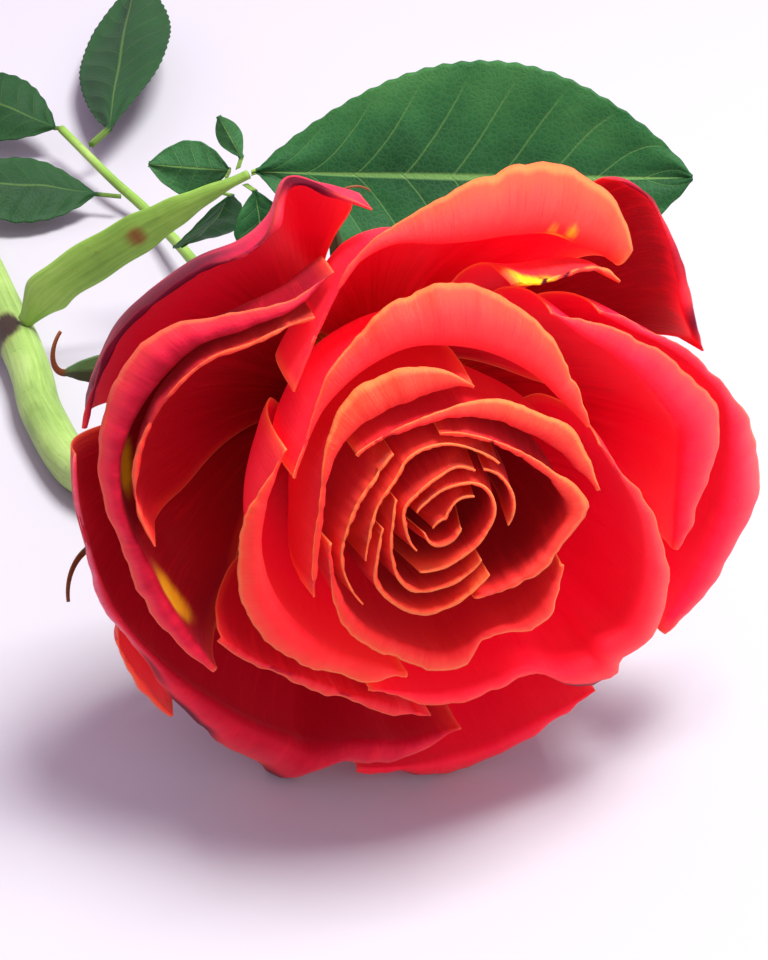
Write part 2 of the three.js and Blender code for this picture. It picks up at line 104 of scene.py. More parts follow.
class Finish:  # one material and its nodes
    def __init__(self, name, settings):
        self.material = bpy.data.materials.new(name)
        self.material.use_nodes = True
        self.tree = self.material.node_tree
        self.shader = self.tree.nodes["Principled BSDF"]
        for socket, value in settings.items():
            self.shader.inputs[socket].default_value = value

    def feed(self, socket, value):
        if isinstance(value, Wire):
            self.tree.links.new(value.socket, socket)
        elif value is not None:
            socket.default_value = value

    def node(self, kind, settings=None, inputs=(), output=0):
        made = self.tree.nodes.new(kind)
        for key, value in (settings or {}).items():
            if key == "stops":
                ramp = made.color_ramp.elements
                while len(ramp) < len(value):
                    ramp.new(0.5)
                for element, (at, colour) in zip(ramp, value):
                    element.position, element.color = at, (*colour, 1)
            else:
                setattr(made, key, value)
        pairs = inputs.items() if isinstance(inputs, dict) else enumerate(inputs)
        for key, value in pairs:
            self.feed(made.inputs[key], value)
        return Wire(self, made.outputs[output])

    def blend(self, factor, a, b, kind="MIX"):
        colour = lambda c: (*c, 1) if isinstance(c, tuple) else c
        return self.node("ShaderNodeMix", {"data_type": "RGBA", "blend_type": kind, "clamp_factor": True},
                         {0: factor, 6: colour(a), 7: colour(b)}, 2)

    def ramp(self, factor, stops):
        return self.node("ShaderNodeValToRGB", {"stops": stops}, [factor])

    def band(self, value, low, high, start=0.0, end=1.0):
        return self.node("ShaderNodeMapRange", {"interpolation_type": "SMOOTHSTEP"},
                         [value, low, high, start, end])

    def uv(self):
        both = self.node("ShaderNodeUVMap", {"uv_map": "UVMap"})
        split = self.node("ShaderNodeSeparateXYZ", None, [both])
        nodes = split.socket.node
        return both, Wire(self, nodes.outputs[0]), Wire(self, nodes.outputs[1])

    def tone(self, name):
        colour = self.node("ShaderNodeAttribute", {"attribute_name": name, "attribute_type": "GEOMETRY"})
        split = self.node("ShaderNodeSeparateColor", None, [colour]).socket.node
        return [Wire(self, split.outputs[i]) for i in range(3)]

    def here(self):
        return self.node("ShaderNodeTexCoord", None, (), 3)

    def noise(self, vector, scale, detail=3, roughness=0.5):
        return self.node("ShaderNodeTexNoise", None,
                         {"Vector": vector, "Scale": scale, "Detail": detail, "Roughness": roughness})

    def stretch(self, vector, x, y, z=1.0):
        return self.node("ShaderNodeVectorMath", {"operation": "MULTIPLY"}, [vector, (x, y, z)])

    def shift(self, vector, x, y, z):
        amount = self.node("ShaderNodeCombineXYZ", None, [x, y, z])
        return self.node("ShaderNodeVectorMath", {"operation": "ADD"}, [vector, amount])

    def finish(self, colour=None, roughness=None, height=None, depth=0.001, strength=0.5):
        self.feed(self.shader.inputs["Base Color"], colour)
        self.feed(self.shader.inputs["Roughness"], roughness)
        if height:
            bump = self.node("ShaderNodeBump", None,
                             {"Strength": strength, "Distance": depth, "Height": height})
            self.feed(self.shader.inputs["Normal"], bump)
        return self.material


petalLook = {
    "thickness": 0.34, "rimThickness": 0.45, "across": 84, "rows": 56, "lipRows": 18, "shortestLip": 0.35,
    "ruffle": 0.55,   # how far the rim waves in and out, mm
    "dent": 0.45,     # broad unevenness of the face, mm
    "corner": 0.2,    # how much lower a petal's corners sit than its middle
    "base": (0.16, 0.0006, 0.002), "deep": (0.56, 0.001, 0.008), "red": (0.88, 0.0025, 0.027),
    "flame": (0.93, 0.008, 0.032), "coral": (0.95, 0.032, 0.028), "edge": (0.96, 0.22, 0.06),
    "amber": (0.94, 0.085, 0.03),
    "pink": (0.74, 0.012, 0.075), "yellow": (0.88, 0.50, 0.01), "bruise": (0.085, 0.001, 0.010),
    "lilacSheen": (0.58, 0.24, 0.33), "mauve": (0.17, 0.002, 0.026), "coolTip": (0.93, 0.026, 0.036),
    "warmTip": (0.95, 0.058, 0.036), "claw": (0.40, 0.22, 0.03), "backLow": (0.36, 0.02, 0.02),
    "backHigh": (0.32, 0.003, 0.03),
    "glow": 0.25,     # painted glow: emission standing in for light that comes through the thin petal
    "bumpDepth": 0.0002, "bumpStrength": 0.65, "thinnest": 0.25,
    "fullSpread": 30, "ruffleSpread": 26,   # rim radii at which a petal is fully uneven, mm
    "nibble": 0.02,   # how far the rim is nibbled away
}


def petalFinish(name, outside):
    look = petalLook
    f = Finish(name, {"Subsurface Weight": 0.35, "Subsurface Radius": (1.0, 0.08, 0.10),
                      "Subsurface Scale": 0.0012, "Sheen Weight": 0.12, "Sheen Roughness": 0.4,
                      "Sheen Tint": (1.0, 0.22, 0.25, 1), "Specular IOR Level": 0.3,
                      "Specular Tint": (1.0, 0.20, 0.24, 1), "Emission Strength": look["glow"]})
    both, u, v = f.uv()
    warmthAndPaintedLight, bruise, yellow = f.tone("tone")
    pink, shade, lilacSheen = f.tone("flush")
    here = f.here()
    streaks = f.noise(f.shift(f.stretch(both, 40, 2.0), 0.0, 0.0, warmthAndPaintedLight * 9), 1.0, 4, 0.6)
    fine = f.noise(f.stretch(both, 190, 6), 1.0, 2, 0.5)
    cloud = f.noise(here, 70, 4, 0.55)
    rise = v + (cloud - 0.5) * 0.26 + (streaks - 0.5) * 0.20
    # darker towards the petal's base, deep in the cup: partly the petal's own colour, partly painted shade
    cool = f.ramp(rise, [(0.0, look["base"]), (0.2, look["deep"]), (0.46, look["red"]),
                         (0.8, look["flame"]), (1.0, look["coolTip"])])
    glow = f.ramp(rise, [(0.0, look["deep"]), (0.24, look["red"]), (0.52, look["flame"]),
                         (0.84, look["coral"]), (1.0, look["warmTip"])])
    colour = f.blend(warmthAndPaintedLight, cool, glow)
    if outside:
        dusky = f.ramp(rise, [(0.0, look["claw"]), (0.25, look["backLow"]), (0.6, look["red"]),
                              (0.85, look["backHigh"]), (1.0, look["mauve"])])
        colour = f.blend(0.75 - warmthAndPaintedLight * 0.6, colour, dusky)
    colour = f.blend(pink * f.band(rise, 0.35, 0.9), colour, look["pink"])
    # painted shade: each petal's shade amount darkens its face below the rim towards the base colour
    colour = f.blend(shade * f.band(rise, 1.02, 0.74), colour, look["base"])
    # painted sheen: lilac patches lighten the colour in streaks
    colour = f.blend(lilacSheen * f.band(streaks + cloud, 0.75, 1.15, 0.5, 1.0), colour, look["lilacSheen"])
    colour = f.blend(f.band(streaks * fine, 0.24, 0.42) * 0.12, colour, look["coral"])
    colour = f.blend(f.band(fine, 0.54, 0.74) * 0.26, colour, look["deep"])
    sideEdge = f.node("ShaderNodeMath", {"operation": "ABSOLUTE"}, [u * 2 - 1])
    rim = f.node("ShaderNodeMath", {"operation": "MAXIMUM"}, [v, sideEdge * 0.988])
    rimColourAndHighlight = rim + (cloud - 0.5) * 0.03 + (streaks - 0.5) * 0.02
    sound = 1 - bruise
    colour = f.blend(f.band(rimColourAndHighlight, 0.9, 1.0) * (0.15 + warmthAndPaintedLight * 0.7) * sound, colour, look["amber"])
    # painted highlight: a thin light line along the rim's very edge
    colour = f.blend(f.band(rimColourAndHighlight, 0.972, 0.996) * (0.3 + warmthAndPaintedLight * 0.6) * sound, colour, look["edge"])
    colour = f.blend(f.band(v + (streaks - 0.5) * 0.1, 0.12, 0.04), colour, look["yellow"])
    colour = f.blend(f.band(yellow * (0.5 + streaks), 0.2, 0.7), colour, look["yellow"])
    colour = f.blend(f.band(bruise * (0.6 + cloud), 0.15, 0.75), colour, look["bruise"])
    roughness = 0.44 + cloud * 0.16 + streaks * 0.08
    height = streaks * 0.6 + fine * 0.5 + f.noise(here, 2600, 2) * 0.25
    # painted glow: the petal emits its own colour on its middle and upper face, less where shade is
    # painted
    paintedGlow = f.band(rise, 0.12, 0.5) * f.band(rise, 1.0, 0.75, 0.35, 1.0) * (1 - shade * 0.8)
    f.feed(f.shader.inputs["Emission Color"], f.blend(paintedGlow, (0, 0, 0), colour))
    return f.finish(colour, roughness, height, look["bumpDepth"], look["bumpStrength"])


# Petals from the bud outward. Stations are angle, rim radius and lip length in degrees and mm.
# Warmth runs from red to coral. Dark, light, yellow and lilac patches are angle, half width, strength
# and height on the petal.
# Light patches are painted light, lilac patches are painted sheen and shade is painted shade.
petals = {
    "petal_bud_1": {"stations": [(190, 3.6, 0), (225, 3.2, 0), (260, 2.1, 0), (300, 1.3, 0),
        (335, 1.3, 0)], "warmth": 0.8, "shade": 0.8},
    "petal_bud_2": {"stations": [(50, 4.4, 0), (75, 3.3, 0), (98, 2.2, 0), (130, 1.5, 0), (160, 2.0, 0),
        (180, 2.6, 0)], "warmth": 0.8, "shade": 0.8},
    "petal_bud_3": {"stations": [(-126, 7.0, 0), (-106, 5.6, 0), (-74, 4.2, 0), (-22, 4.2, 0),
        (17, 5.4, 0), (48, 5.8, 0), (88, 4.8, 0), (126, 4.4, 0), (154, 4.8, 0)],
        "warmth": 0.8, "shade": 0.75},
    "petal_bud_4": {"stations": [(64, 7.1, 0), (82, 7.0, 0), (102, 6.2, 0), (131, 5.8, 0), (155, 6.1, 0),
        (182, 5.5, 0), (212, 5.3, 0)], "warmth": 0.8, "shade": 0.75},
    "petal_bud_5": {"stations": [(-8, 6.9, 0), (9, 7.6, 0), (23, 7.9, 0), (41, 7.9, 0), (57, 7.6, 0)],
        "warmth": 0.8, "shade": 0.75},
    "petal_bud_6": {"stations": [(150, 7.5, 0), (174, 7.0, 0), (205, 7.9, 0), (225, 9.0, 0.2),
        (240, 9.2, 0.3), (259, 8.0, 0.2), (284, 6.7, 0), (305, 6.0, 0)], "warmth": 0.9, "shade": 0.7},
    "petal_ring_1": {"stations": [(48, 9.1, 0.2), (70, 9.1, 0.2), (92, 9.6, 0.3), (117, 9.6, 0.3),
        (137, 8.7, 0), (162, 9.0, 0), (186, 9.8, 0), (200, 10.9, 0)], "warmth": 0.9, "shade": 0.6},
    "petal_ring_2": {"stations": [(178, 8.2, 0), (190, 8.7, 0), (202, 9.6, 0), (216, 11.2, 0.4),
        (238, 11.9, 0.6), (252, 11.8, 0.6), (265, 10.7, 0.4), (287, 8.9, 0), (302, 8.3, 0)],
        "warmth": 0.9, "shade": 0.6},
    "petal_ring_3": {"stations": [(-76, 10.2, 0), (-50, 11.5, 0.4), (-34, 13.2, 1), (-18, 14.4, 1.2),
        (-4, 17.0, 2.6), (5, 15.8, 2), (21, 13.0, 0.8), (43, 11.2, 0.3), (68, 10.6, 0.3),
        (94, 11.0, 0.3)], "warmth": 0.7, "shade": 0.7},
    "petal_ring_4": {"stations": [(125, 11.1, 0), (144, 10.6, 0), (163, 11.2, 0), (179, 12.0, 0),
        (192, 13.0, 0), (206, 13.7, 0), (222, 14.3, 0.2)], "warmth": 0.95, "shade": 0.5},
    "petal_heart_1": {"stations": [(2, 19.2, 1), (8, 18.8, 1.6), (17, 18.2, 2.4), (31, 17.4, 2.8),
        (45, 15.8, 2.4), (60, 15.2, 2.4), (75, 14.2, 1.8), (93, 13.0, 0.8), (111, 12.7, 0.4),
        (127, 13.2, 0.5), (139, 14.0, 0.5)], "warmth": 0.9, "shade": 0.4},
    "petal_heart_2": {"stations": [(186, 14.2, 0.2), (201, 15.0, 0.4), (226, 17.6, 1.4), (239, 18.4, 2),
        (251, 18.8, 2.2), (267, 20.4, 2.8), (276, 19.4, 2.4), (283, 16.6, 1), (293, 16.8, 1),
        (300, 19.0, 2.2), (309, 19.2, 2.2), (320, 17.4, 1.4), (331, 15.9, 0.6)],
        "warmth": 0.85, "shade": 0.4},
    "petal_heart_3": {"stations": [(76, 16.0, 0.4), (84, 17.2, 1.6), (95, 18.2, 3.4), (107, 18.4, 3.8),
        (118, 18.6, 3.8), (128, 18.2, 3), (142, 16.8, 1.4), (157, 15.4, 0.4), (172, 15.0, 0.2),
        (188, 15.8, 0.2), (200, 17.0, 0.2), (208, 18.2, 0.2)], "warmth": 0.95, "shade": 0.4},
    "petal_mid_1": {"stations": [(26, 19.8, 0.5), (40, 21.2, 2.4), (52, 23.4, 4.4), (65, 25.0, 6),
        (76, 26.0, 6.8), (86, 26.0, 6.6), (98, 25.0, 5.2), (113, 22.8, 3.2), (132, 20.4, 1),
        (147, 18.8, 0.4), (160, 18.6, 0.2)], "warmth": 0.8, "light": [(45, 12, 0.3, 0.7)]},
    "petal_mid_2": {"stations": [(152, 20.4, 0.3), (162, 20.8, 0.6), (170, 21.8, 1.2), (183, 23.6, 2.4),
        (192, 24.6, 3), (202, 25.6, 3.6), (214, 26.0, 4), (228, 24.8, 3.4), (246, 23.0, 2.4),
        (256, 21.8, 1)], "warmth": 0.85},
    "petal_mid_3": {"stations": [(247, 24.8, 0.6), (257, 25.2, 1.2), (271, 26.6, 2.2), (283, 25.8, 1.8),
        (292, 26.0, 2), (297, 28.4, 3), (301, 34.0, 5.6), (306, 37.6, 7.2), (309, 39.2, 8),
        (312, 36.6, 6.4), (315, 37.6, 6.6), (319, 39.0, 7), (327, 36.6, 6), (342, 29.6, 3),
        (355, 25.0, 1.6), (366, 21.8, 0.8), (378, 20.0, 0.3)],
        "warmth": 0.45, "pink": 0.1, "dark": [(303, 4, 1.0, 1.0)]},
    "petal_mid_4": {"stations": [(211, 31.6, 1), (221, 30.0, 1.4), (231, 28.2, 1.4), (247, 27.2, 0.8),
        (258, 27.8, 0.6), (267, 28.8, 0.4)], "warmth": 0.35, "pink": 0.2, "shade": 0.6},
    "petal_cup_1": {"stations": [(119, 27.0, 0.3), (134, 28.8, 0.3), (143, 31.2, 0.3), (156, 33.4, 0.3),
        (169, 34.8, 0.3), (179, 34.6, 0.3), (187, 33.4, 0.3)],
        "warmth": 0.2, "shade": 0.65, "light": [(150, 15, 0.7, 0.82), (135, 12, 0.6, 0.9)]},
    "petal_cup_2": {"stations": [(110, 30.2, 0.8), (122, 29.6, 1.2), (134, 32.6, 2.4), (143, 36.4, 3.6),
        (156, 38.6, 3.8), (169, 39.0, 2.8), (179, 38.2, 2.2), (190, 36.8, 2.2), (201, 36.4, 2.2),
        (211, 35.4, 1.4), (218, 34.8, 0.8)],
        "warmth": 0.3, "pink": 0.6, "shade": 0.8, "yellow": [(176, 7, 0.7, 0.62), (203, 9, 0.8, 0.7)],
        "light": [(125, 12, 0.4, 0.85)], "dark": [(112, 4, 0.5, 1.0)]},
    "petal_top_1": {"stations": [(43, 33.5, 0.3), (48, 33.2, 0.7), (52, 32.0, 0.9), (57, 29.8, 0.8),
        (62, 28.2, 0.6), (68, 27.0, 0.4)],
        "warmth": 0.8, "yellow": [(62, 5, 1.0, 0.95)], "dark": [(60, 0.9, 0.9, 0.96),
        (55, 0.7, 0.7, 0.97)]},
    "petal_top_2": {"stations": [(44, 41.4, 7.2), (48, 42.0, 8), (53, 41.6, 8.2), (60, 41.0, 8),
        (68, 39.2, 7.6), (78, 36.2, 6), (87, 33.8, 4), (96, 31.8, 1.6), (104, 30.0, 0.4),
        (110, 28.4, 0.3), (118, 26.2, 0.3), (126, 24.4, 0.3), (136, 22.8, 0.3)],
        "warmth": 0.95, "yellow": [(59, 5, 1.0, 0.68), (57, 1.6, 0.6, 0.8), (61, 1.4, 0.5, 0.78)],
        "dark": [(62, 0.9, 0.9, 0.68), (56, 0.8, 0.8, 0.66)]},
    "petal_right_1": {"stations": [(-21, 34.0, 1.4), (-10, 35.2, 4), (-2, 37.0, 5.8), (6, 38.0, 6.6),
        (13, 35.8, 5.8), (24, 32.4, 4.2), (35, 29.6, 2.8), (46, 27.4, 1.8), (56, 26.0, 0.4)],
        "warmth": 0.25, "pink": 0.2},
    "petal_right_2": {"stations": [(-40, 43.2, 2.8), (-33, 46.4, 6), (-25, 48.6, 8.2), (-19, 50.0, 9.6),
        (-13, 49.2, 8.8), (-3, 45.4, 5.4), (6, 41.2, 1.7), (17, 36.8, 0.9), (32, 32.0, 0.8),
        (44, 29.6, 0.6)], "warmth": 0.3, "pink": 0.3},
    "petal_outer_1": {"stations": [(98, 34.4, 0.4), (104, 37.0, 0.8), (110, 39.6, 1.2), (116, 36.4, 0.6),
        (123, 35.6, 0.4), (131, 37.2, 0.4), (140, 38.6, 0.4), (150, 40.2, 0.4), (160, 40.6, 0.4),
        (167, 41.0, 0.4)],
        "bulge": 2, "warmth": 0.0, "pink": 0.4, "shade": 0.15, "dark": [(108, 6, 0.8, 1.0),
        (122, 10, 0.6, 1.0), (136, 14, 0.9, 0.97), (152, 18, 0.95, 0.95), (138, 16, 0.85, 0.88),
        (150, 16, 0.8, 0.84), (132, 12, 0.6, 0.8)]},
    "petal_outer_2": {"stations": [(18, 38.2, 0.4), (22, 38.0, 0.4), (27, 38.6, 0.4), (33, 40.6, 0.4),
        (39, 42.4, 0.5), (44, 43.6, 0.6), (50, 42.9, 0.4)],
        "bulge": 1, "warmth": 0.0, "pink": 0.35, "shade": 0.8, "dark": [(45, 7, 0.6, 1.0),
        (24, 5, 0.6, 1.0), (34, 8, 0.5, 1.0)]},
    "petal_outer_3": {"stations": [(172, 41.6, 0.3), (180, 41.4, 0.3), (188, 41.2, 0.5), (201, 41.6, 1),
        (212, 41.6, 2), (224, 43.0, 4), (235, 44.6, 6), (243, 46.5, 8), (247, 48.0, 9), (250, 44.0, 6.4),
        (253, 40.4, 4.6), (258, 38.4, 3.6), (263, 38.6, 3.8), (268, 37.0, 3.2), (272, 34.4, 1.8),
        (275, 33.4, 1.2)],
        "bulge": 2.5, "warmth": 0.2, "pink": 0.35, "shade": 0.6, "lilacSheen": [(182, 14, 1.0, 0.98),
        (190, 12, 1.0, 0.92), (198, 10, 1.0, 0.97), (204, 8, 0.7, 0.97)], "dark": [(226, 8, 0.9, 1.0),
        (246, 4, 0.6, 1.0), (214, 6, 0.6, 0.95)]},
    "petal_outer_4": {"stations": [(257, 42.0, 0.8), (264, 42.4, 1.6), (273, 43.8, 3.6),
        (280, 43.4, 3.6), (290, 40.6, 2.4), (298, 39.4, 1), (304, 39.6, 0.5)],
        "bulge": 1, "warmth": 0.1, "pink": 0.2, "shade": 0.2, "dark": [(268, 5, 0.5, 1.0)]},
    "petal_outer_5": {"stations": [(207, 42.9, 0.3), (212, 44.0, 0.7), (218, 45.0, 0.9),
        (225, 45.8, 0.9)], "bulge": 2.5, "warmth": 0.8},
}


def rimHeight(radius):
    return bloom["height"] - bloom["rimDrop"] * (radius / bloom["outerRadius"]) ** 2


def domeAt(radius):
    return bloom["domeHeight"] - bloom["domeFall"] * radius * radius


def stationAt(stations, angle, column):  # smooth curve through the stations
    last = len(stations) - 1
    at = min(max(angle, stations[0][0]), stations[last][0])
    i = 0
    while i < last - 1 and at > stations[i + 1][0]:
        i += 1

    def slope(k):
        low, high = stations[max(k - 1, 0)], stations[min(k + 1, last)]
        return (high[column] - low[column]) / (high[0] - low[0])

    start, end = stations[i], stations[i + 1]
    width = end[0] - start[0]
    t = (at - start[0]) / width
    return (start[column] * (2 * t ** 3 - 3 * t ** 2 + 1) + end[column] * (3 * t ** 2 - 2 * t ** 3)
            + width * (slope(i) * (t ** 3 - 2 * t ** 2 + t) + slope(i + 1) * (t ** 3 - t ** 2)))


def bezier(a, b, c, d, t):
    s = 1 - t
    return a * s ** 3 + 3 * b * s * s * t + 3 * c * s * t * t + d * t ** 3


def meridian(base, rim, lip, bulge, wall):  # 0 to 1 is the wall, 1 to 2 the lip
    crest = rim - lip
    belly = crest + 5 * (1 - crest / 45) + bulge
    top, foot = rimHeight(crest), domeAt(base)
    shoulder = top - 0.35 * lip
    if wall <= 1:
        return (bezier(base, mix(base, belly, 0.6), belly, crest, wall),
                bezier(foot, foot + 0.12 * top, 0.5 * top, shoulder, wall))
    t = wall - 1
    return (bezier(crest, crest, mix(crest, rim, 0.45), rim, t),
            bezier(shoulder, top + 0.1 * lip, top + 0.1 * lip, rimHeight(rim), t))


def patch(spots, angle, v):
    found = 0
    for centre, halfWidth, strength, height in spots:
        near = math.exp(-((angle - centre) / halfWidth) ** 2 - ((v - height) / 0.07) ** 2)
        found = max(found, strength * near)
    return found


def frameSlot(node):
    return next(s["material_slot"] for s in frame["record"]["subparts"] if s["node"] == node)


def keepPiece(node, bm, materials):
    mesh = bpy.data.meshes.new("v_" + node)
    bm.normal_update()
    bm.to_mesh(mesh)
    bm.free()
    for polygon in mesh.polygons:
        polygon.use_smooth = True
    for material in materials:
        mesh.materials.append(material)
    piece = bpy.data.objects.new("v_" + node, mesh)
    bpy.context.collection.objects.link(piece)
    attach(piece, "root")
    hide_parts(node)
    frameSlot(node)
    return piece


def flatGrid(bm, columns, rows):
    # corners run 0 to 1, and the UV map is made from those places
    bmesh.ops.create_grid(bm, x_segments=columns, y_segments=rows, size=0.5)
    bmesh.ops.translate(bm, verts=bm.verts, vec=(0.5, 0.5, 0))
    uvLayer = bm.loops.layers.uv.new("UVMap")
    for face in bm.faces:
        for loop in face.loops:
            loop[uvLayer].uv = loop.vert.co.xy


def addThickness(piece, thickness, weights, thinnest):
    group = piece.vertex_groups.new(name="body")
    for index, weight in enumerate(weights):
        group.add([index], weight, "REPLACE")
    wall = piece.modifiers.new("thickness", "SOLIDIFY")
    wall.thickness = thickness * mm
    wall.offset = 0
    wall.vertex_group = "body"
    wall.thickness_vertex_group = thinnest
    wall.material_offset = 1


def makePetal(order, name, petal, materials):
    look, stations = petalLook, petal["stations"]
    base = bloom["petalBase"] + bloom["petalStep"] * order
    start, end = stations[0][0], stations[-1][0]
    middle, half = (start + end) / 2, (end - start) / 2
    spread = max(station[1] for station in stations)
    curl = sum(station[2] for station in stations) / len(stations)
    lipRows = max(2, round(look["lipRows"] * min(1, curl / 3)))
    wallRows = look["rows"] - lipRows
    ruffle = look["ruffle"] * min(1, spread / look["ruffleSpread"]) ** 1.5
    uneven = min(1, spread / look["fullSpread"])
    bm = bmesh.new()
    flatGrid(bm, look["across"], look["rows"])
    tone = bm.verts.layers.float_color.new("tone")
    flush = bm.verts.layers.float_color.new("flush")
    weights, sway = [], {}
    for vert in bm.verts:
        u, v = vert.co.x * 2 - 1, vert.co.y
        step = v * look["rows"]
        wallAt = step / wallRows if step <= wallRows else 1 + (step - wallRows) / lipRows
        corner = 1 - look["corner"] * abs(u) ** 6
        nibble = 1 + look["nibble"] * uneven * smooth(v, 0.6, 1) * noise.noise(
            Vector((order * 7.3, u * half / 4.5, 0)))
        wallAt = min(wallAt * corner * nibble, 2)
        angle = middle + half * u * mix(bloom["claw"], 1, smooth(wallAt, 0, 0.6))
        lip = max(stationAt(stations, angle, 2), look["shortestLip"])
        r, h = meridian(base, stationAt(stations, angle, 1), lip, petal.get("bulge", 0), wallAt)
        vert.co = fromBloom(angle, r, h)
        rimward = smooth(v, 0.7, 1)
        sway[vert] = (rimward * ruffle * (noise.noise(Vector((order * 3.1, u * half / 6, v * 0.6)))
                                          + 0.5 * noise.noise(Vector((order * 9.1, u * half / 2.6, v))))
                      + look["dent"] * uneven * smooth(v, 0.2, 0.6)
                      * noise.noise(Vector((order * 5.7, u * half / 22, v * 2.2))))
        warmth = petal["warmth"] * (0.85 + 0.35 * noise.noise(Vector((order, u * 2, v * 2))))
        light, dark, yellow, lilacSheen = [patch(petal.get(kind, []), angle, v)
                                      for kind in ("light", "dark", "yellow", "lilacSheen")]
        # light patches are painted light: they push the colour towards the bright coral ramp
        vert[tone] = (min(max(warmth + light, 0), 1), dark, yellow, 1)
        vert[flush] = (petal.get("pink", 0), petal.get("shade", 0), lilacSheen, 1)
        weights.append(mix(1, look["rimThickness"], smooth(max(v, abs(u)), 0.9, 1)))
    bm.normal_update()
    if sum(f.normal.dot(bloomAxis) for f in bm.faces) < 0:
        bmesh.ops.reverse_faces(bm, faces=bm.faces)
        bm.normal_update()
    moves = {vert: vert.normal * (amount * mm) for vert, amount in sway.items()}
    for vert, move in moves.items():
        vert.co += move
    addThickness(keepPiece(name, bm, materials), look["thickness"], weights, look["thinnest"])


petalMaterials = [petalFinish("petalInside", False), petalFinish("petalOutside", True)]
for order, (name, petal) in enumerate(petals.items()):
    makePetal(order, name, petal, petalMaterials)
print("petals made")


greenMarks = {"rust": (0.20, 0.06, 0.012), "scar": (0.035, 0.020, 0.010)}


def greenSkin(name, look):
    f = Finish(name, {"Subsurface Weight": 0.12, "Subsurface Radius": (0.5, 1.0, 0.2),
                      "Subsurface Scale": 0.001, "Specular IOR Level": 0.3})
    both, u, v = f.uv()
    scar, rust, _ = f.tone("tone")
    here = f.here()
    streaks = f.noise(f.stretch(both, 34, look["length"] * 60), 1.0, 4, 0.6)
    cloud = f.noise(here, 55, 4, 0.6)
    specks = f.noise(here, 900, 2, 0.5)
    colour = f.ramp(cloud * 0.6 + streaks * 0.4,
                    [(0.3, look["dark"]), (0.5, look["body"]), (0.72, look["light"])])
    colour = f.blend(f.band(specks, 0.66, 0.74) * 0.4, colour, look["speck"])
    colour = f.blend(f.band(rust * (0.5 + cloud), 0.2, 0.8), colour, greenMarks["rust"])
    colour = f.blend(f.band(scar * (0.6 + streaks), 0.25, 0.7), colour, greenMarks["scar"])
    height = streaks * 0.6 + specks * 0.4 - f.band(scar, 0.3, 0.8) * 0.8
    return f.finish(colour, 0.42 + cloud * 0.2, height, 0.0002, 0.5)


def smoothPath(points, count):
    curve = []
    pts = [points[0] * 2 - points[1]] + list(points) + [points[-1] * 2 - points[-2]]
    for i in range(1, len(pts) - 2):
        for k in range(count):
            t = k / count
            a, b, c, d = pts[i - 1], pts[i], pts[i + 1], pts[i + 2]
            curve.append(0.5 * ((2 * b) + (c - a) * t + (2 * a - 5 * b + 4 * c - d) * t * t
                                + (3 * b - a - 3 * c + d) * t ** 3))
    curve.append(points[-1].copy())
    return curve


def makeRod(node, material, path, sides, sizeAt, toneAt):
    # a ring grows step by step along the path; sizeAt(t, around) gives its half widths
    bm = bmesh.new()
    uvLayer = bm.loops.layers.uv.new("UVMap")
    tone = bm.verts.layers.float_color.new("tone")
    ring = bmesh.ops.create_circle(bm, segments=sides, radius=1, cap_ends=False)["verts"]
    places = {}
    for j, at in enumerate(path):
        along = (path[min(j + 1, len(path) - 1)] - path[max(j - 1, 0)]).normalized()
        flat = Vector((0, 0, 1)).cross(along).normalized()
        up = along.cross(flat).normalized()
        if j:
            edges = list({e for v in ring for e in v.link_edges if all(w in ring for w in e.verts)})
            grown = bmesh.ops.extrude_edge_only(bm, edges=edges)["geom"]
            fresh = [g for g in grown if isinstance(g, bmesh.types.BMVert)]
            ring = sorted(fresh, key=lambda v: next(places[e.other_vert(v)][0] for e in v.link_edges
                                                    if e.other_vert(v) in places))
        t = j / (len(path) - 1)
        for i, v in enumerate(ring):
            around = 2 * math.pi * i / sides
            wide, tall = sizeAt(t, around)
            v.co = at + flat * (math.cos(around) * wide * mm) + up * (math.sin(around) * tall * mm)
            v[tone] = (*toneAt(t, around), 0, 1)
            places[v] = (i, t)
    for face in bm.faces:
        wraps = max(places[loop.vert][0] for loop in face.loops) == sides - 1 \
            and min(places[loop.vert][0] for loop in face.loops) == 0
        for loop in face.loops:
            i, t = places[loop.vert]
            loop[uvLayer].uv = ((sides if wraps and i == 0 else i) / sides, t)
    caps = bmesh.ops.holes_fill(bm, edges=[e for e in bm.edges if e.is_boundary], sides=0)["faces"]
    bmesh.ops.inset_individual(bm, faces=caps, thickness=0.0003, depth=0.0001)
    bmesh.ops.recalc_face_normals(bm, faces=bm.faces)
    return keepPiece(node, bm, [material])


stem = {"radius": 3.5, "reach": 165, "sides": 32, "scarAround": 0.5, "neck": 17, "neckRun": 7,
        "dark": (0.15, 0.26, 0.045), "body": (0.30, 0.45, 0.11), "light": (0.46, 0.59, 0.21),
        "speck": (0.16, 0.22, 0.05), "length": 0.3}
nodePoint = place(-61.2, 76.2, stem["radius"])
away = Vector((-0.405, 0.914, 0))
neckEnd = bloomOrigin - bloomAxis * (stem["neck"] + bloom["restGap"]) * mm
stemPath = smoothPath([
    neckEnd, neckEnd - bloomAxis * stem["neckRun"] * mm, place(-19, 30, stem["radius"] + 17),
    place(-34, 30, stem["radius"] + 7), place(-45, 34.6, stem["radius"] + 0.8),
    place(-54, 52.8, stem["radius"]), nodePoint,
    nodePoint + away * (stem["reach"] / 2 * mm) + Vector((4 * mm, 0, 0)),
    nodePoint + away * (stem["reach"] * mm)], 20)
nearest = min(range(len(stemPath)), key=lambda k: (stemPath[k] - nodePoint).length)
nodeShare = nearest / (len(stemPath) - 1)


def stemSize(t, around):
    swell = 0.16 * math.exp(-((t - nodeShare) / 0.015) ** 2)
    ribs = 0.04 * math.sin(around * 5 + t * 9)
    radius = stem["radius"] - 0.1 + swell + ribs
    return radius, radius


